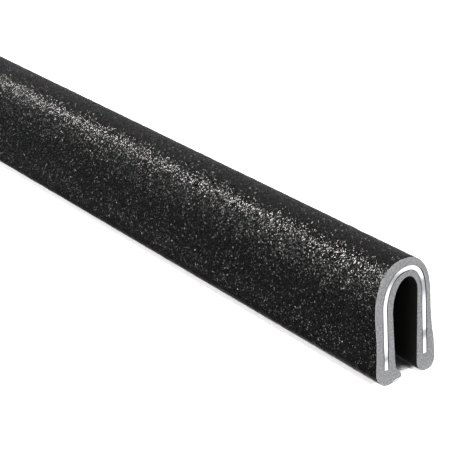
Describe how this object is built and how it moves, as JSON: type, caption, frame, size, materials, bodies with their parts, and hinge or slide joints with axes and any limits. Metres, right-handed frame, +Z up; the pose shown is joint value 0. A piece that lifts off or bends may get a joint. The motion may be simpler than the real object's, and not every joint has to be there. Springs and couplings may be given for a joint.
{
  "type": "edge trim seal",
  "caption": "U-shaped black PVC edge trim with a gripping lip inside its slot and a thin aluminium core that shows at the square-cut ends.",
  "frame": {"origin": "centre of the trim's box at the level of its two soles", "axes": "+X along the trim, +Y across the slot from the lipped leg towards the plain leg, +Z up from the soles to the rounded back"},
  "size_m": [0.3048, 0.0092, 0.0159],
  "materials": {
    "black_pvc": "matte",
    "aluminium_core": "satin"
  },
  "bodies": {
    "root": {"pvc_cover": "black_pvc", "metal_core": "aluminium_core"}
  },
  "joints": []
}
